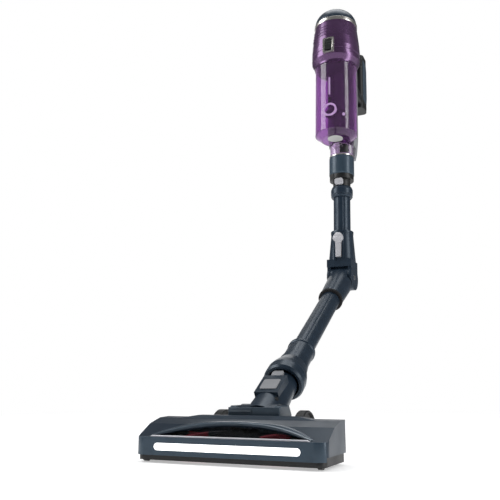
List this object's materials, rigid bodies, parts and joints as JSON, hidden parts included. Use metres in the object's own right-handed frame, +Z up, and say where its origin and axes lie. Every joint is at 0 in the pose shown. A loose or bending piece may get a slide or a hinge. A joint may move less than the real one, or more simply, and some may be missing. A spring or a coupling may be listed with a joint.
{
  "type": "cordless stick vacuum",
  "caption": "Cordless stick vacuum with a clear cyclone bin, loop handle, hinged wand that bends at a knee, and a wide floor head with a light bar and brush roll.",
  "frame": {"origin": "centre of the hand grip", "axes": "+Z up, the floor head faces -Y, +X to the right of someone who looks along +Y"},
  "size_m": [0.255, 0.7093, 0.8892],
  "materials": {
    "slate": "satin dark slate blue-grey moulded plastic",
    "slate_light": "satin blue-grey moulded plastic",
    "black": "fine-textured black plastic",
    "rubber": "soft black rubber",
    "silver": "satin champagne-silver trim",
    "silver_plastic": "silver-white painted plastic",
    "grey": "light grey plastic",
    "purple": "clear purple polycarbonate",
    "lilac": "clear pale lilac polycarbonate",
    "smoke": "dark smoked polycarbonate",
    "light": "frosted white light bar, lit",
    "board": "green circuit board",
    "steel": "bright steel",
    "motor": "cast motor casing",
    "filter": "pale pleated filter fleece",
    "bristle": "dull red nylon bristles"
  },
  "bodies": {
    "handheld": {"nozzle_collar": "slate_light", "trim_band": "silver", "inlet_neck": "lilac", "rear_body": "grey", "motor_shell": "purple", "latch_frame": "silver", "filter": "filter", "suction_motor": "motor", "shell_ring": "silver", "top_cap": "slate", "handle": "black", "upper_tube": "slate", "tube_bulb": "slate", "wand_head": "black", "knee_housing": "slate", "knee_back_cover": "black", "knee_pins": "steel"},
    "bin": {"dust_bin": "purple", "cyclone": "black", "bin_ring": "lilac"},
    "flap": {"inlet_flap": "silver_plastic"},
    "bin_catch": {"bin_latch": "black"},
    "fan": {"impeller": "motor"},
    "trigger_body": {"trigger": "grey"},
    "battery": {"battery_pack": "black"},
    "wand_button": {"wand_release": "silver_plastic"},
    "lever": {"knee_lever": "silver_plastic"},
    "latch": {"knee_latch": "steel"},
    "lower_wand": {"knee_drum": "slate", "knee_liner": "rubber", "knee_rim": "rubber", "lower_tube": "slate", "lower_collar": "slate", "swivel_ring": "slate"},
    "neck": {"neck_body": "slate", "neck_plate": "grey"},
    "head_button": {"head_release": "grey"},
    "head": {"chassis": "black", "head_cover": "slate", "front_bumper": "slate_light", "light_lens": "light", "light_board": "board", "brush_window": "smoke", "brush_bearings": "steel", "brush_motor": "motor", "drive_belt": "rubber", "rear_axles": "steel", "sole_lip": "rubber", "head_screws": "steel", "pivot_cheeks": "slate_light", "neck_skirt": "slate_light", "pivot_pins": "steel"},
    "brush": {"brush_roll": "grey", "brush_bristles": "bristle", "brush_pulley": "black"},
    "drive": {"motor_pulley": "black"},
    "left_wheel": {"rear_wheel_left": "black"},
    "right_wheel": {"rear_wheel_right": "black"},
    "left_roller": {"front_wheel_left": "black"},
    "right_roller": {"front_wheel_right": "black"}
  },
  "joints": [
    {"name": "bin_tilt", "type": "hinge", "parent": "handheld", "child": "bin", "pos_m": [0, -0.17398, -0.21183], "axis": [1, 0, 0], "range_deg": [0, 25]},
    {"name": "inlet_flap_swing", "type": "hinge", "parent": "bin", "child": "flap", "pos_m": [0, -0.18291, -0.20646], "axis": [1, 0, 0], "range_deg": [0, 45]},
    {"name": "bin_latch_slide", "type": "slide", "parent": "handheld", "child": "bin_catch", "axis": [0, -0.0732, -0.9973], "range_m": [0, 0.003], "stiffness_N_per_m": 400},
    {"name": "fan_spin", "type": "hinge", "parent": "handheld", "child": "fan", "pos_m": [0, -0.16676, -0.0042], "axis": [0, 0.0732, 0.9973], "continuous": true},
    {"name": "trigger_squeeze", "type": "slide", "parent": "handheld", "child": "trigger_body", "axis": [0, 0.9973, -0.0732], "range_m": [0, 0.004], "stiffness_N_per_m": 600},
    {"name": "battery_slide", "type": "slide", "parent": "handheld", "child": "battery", "axis": [0, -0.0732, -0.9973], "range_m": [0, 0.08]},
    {"name": "wand_release_press", "type": "slide", "parent": "handheld", "child": "wand_button", "axis": [0, 0.9973, -0.0732], "range_m": [0, 0.002], "stiffness_N_per_m": 800},
    {"name": "knee_lever_slide", "type": "slide", "parent": "handheld", "child": "lever", "axis": [0, -0.0732, -0.9973], "range_m": [0, 0.005], "stiffness_N_per_m": 500},
    {"name": "knee_latch_lift", "type": "slide", "parent": "handheld", "child": "latch", "axis": [0, 0.0732, 0.9973], "range_m": [0, 0.005], "stiffness_N_per_m": 100},
    {"name": "knee_bend", "type": "hinge", "parent": "handheld", "child": "lower_wand", "pos_m": [0, -0.16664, -0.49412], "axis": [1, 0, 0], "range_deg": [-5, 53.3]},
    {"name": "neck_swivel", "type": "hinge", "parent": "lower_wand", "child": "neck", "pos_m": [0, -0.48712, -0.6983], "axis": [0, 0.8434, 0.5373], "range_deg": [-45, 45]},
    {"name": "neck_pitch", "type": "hinge", "parent": "neck", "child": "head", "pos_m": [0, -0.57146, -0.75203], "axis": [1, 0, 0], "range_deg": [-32.5, 32.5]},
    {"name": "head_release_press", "type": "slide", "parent": "neck", "child": "head_button", "axis": [0, 0.5373, -0.8434], "range_m": [0, 0.002], "stiffness_N_per_m": 800},
    {"name": "brush_spin", "type": "hinge", "parent": "head", "child": "brush", "pos_m": [0, -0.64646, -0.77853], "axis": [1, 0, 0], "continuous": true},
    {"name": "motor_spin", "type": "hinge", "parent": "head", "child": "drive", "pos_m": [0, -0.61256, -0.77203], "axis": [1, 0, 0], "continuous": true},
    {"name": "rear_wheel_left_spin", "type": "hinge", "parent": "head", "child": "left_wheel", "pos_m": [-0.06, -0.56596, -0.76703], "axis": [1, 0, 0], "continuous": true},
    {"name": "rear_wheel_right_spin", "type": "hinge", "parent": "head", "child": "right_wheel", "pos_m": [0.06, -0.56596, -0.76703], "axis": [1, 0, 0], "continuous": true},
    {"name": "front_wheel_left_spin", "type": "hinge", "parent": "head", "child": "left_roller", "pos_m": [-0.117, -0.66946, -0.79203], "axis": [1, 0, 0], "continuous": true},
    {"name": "front_wheel_right_spin", "type": "hinge", "parent": "head", "child": "right_roller", "pos_m": [0.117, -0.66946, -0.79203], "axis": [1, 0, 0], "continuous": true}
  ],
  "couplings": [
    {"joint": "knee_latch_lift", "follows": "knee_lever_slide", "ratio": 1},
    {"joint": "motor_spin", "follows": "brush_spin", "ratio": 1.6667}
  ]
}
